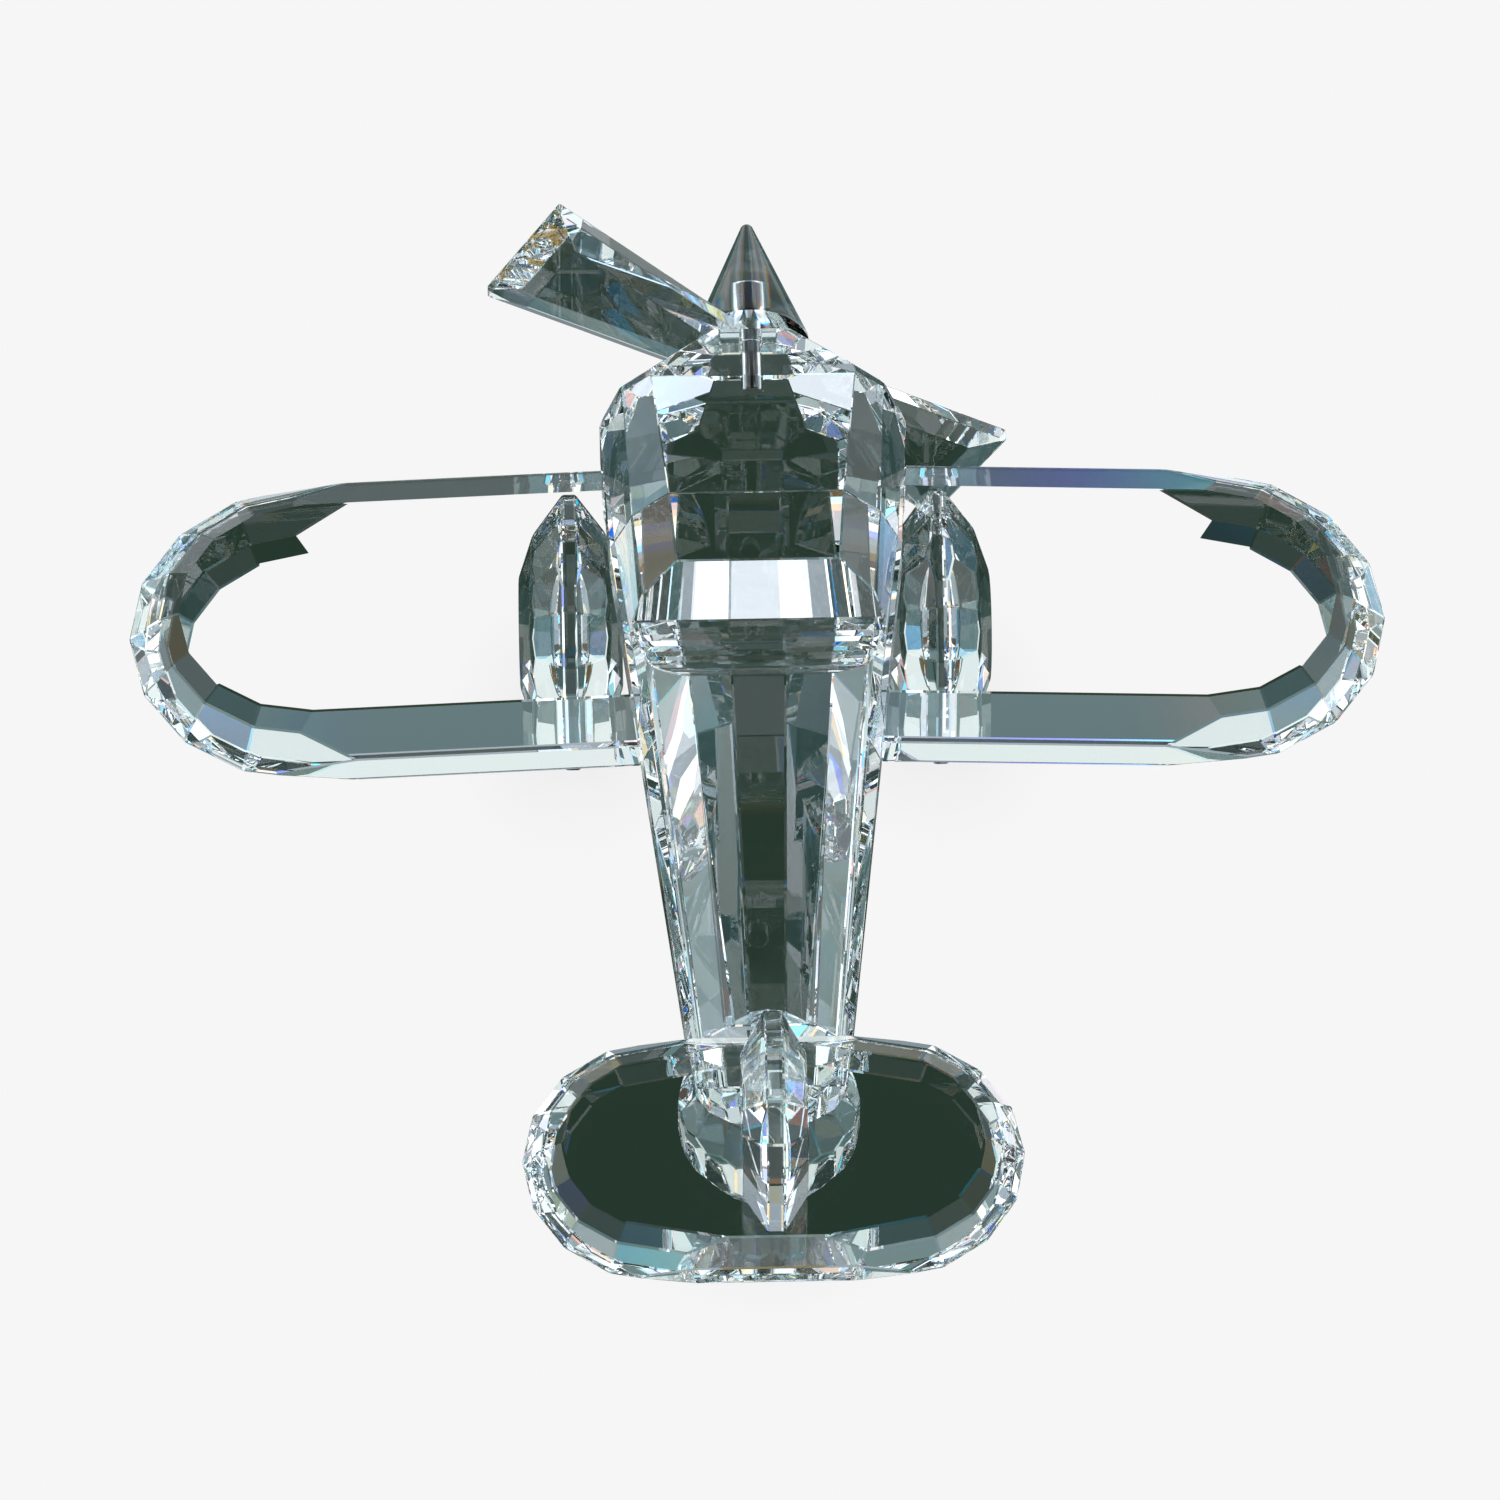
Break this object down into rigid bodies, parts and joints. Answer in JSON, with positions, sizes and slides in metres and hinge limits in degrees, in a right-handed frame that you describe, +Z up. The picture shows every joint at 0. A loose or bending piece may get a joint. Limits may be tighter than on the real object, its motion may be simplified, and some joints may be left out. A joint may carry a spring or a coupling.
{
  "type": "crystal aeroplane ornament",
  "caption": "Cut-crystal propeller aeroplane ornament: faceted body, rounded bevelled wings and tail, two wheels, a tail ball and a propeller that spins on a pin.",
  "frame": {"origin": "on the surface it stands on, midway along the ornament's length and on its centre line", "axes": "+Z up, +Y towards the nose, +X towards the right wing tip seen from behind"},
  "size_m": [0.0832, 0.0848, 0.0397],
  "materials": {
    "crystal": "cut and polished clear lead crystal",
    "pin_steel": "bright plated steel pin",
    "bush_brass": "turned brass",
    "washer_nylon": "translucent nylon"
  },
  "bodies": {
    "airframe": {"fuselage": "crystal", "engine_block": "crystal", "wing_right": "crystal", "wing_left": "crystal", "wheel_right": "crystal", "wheel_left": "crystal", "tailplane": "crystal", "fin": "crystal", "tail_ball": "crystal", "propeller_pin": "pin_steel", "rear_washer": "washer_nylon", "front_washer": "washer_nylon", "nose_cone": "crystal"},
    "propeller_unit": {"propeller": "crystal", "propeller_bush": "bush_brass"}
  },
  "joints": [
    {"name": "propeller_spin", "type": "hinge", "parent": "airframe", "child": "propeller_unit", "pos_m": [0, 0.03055, 0.02246], "axis": [0, 0.9942, 0.1077], "continuous": true}
  ]
}
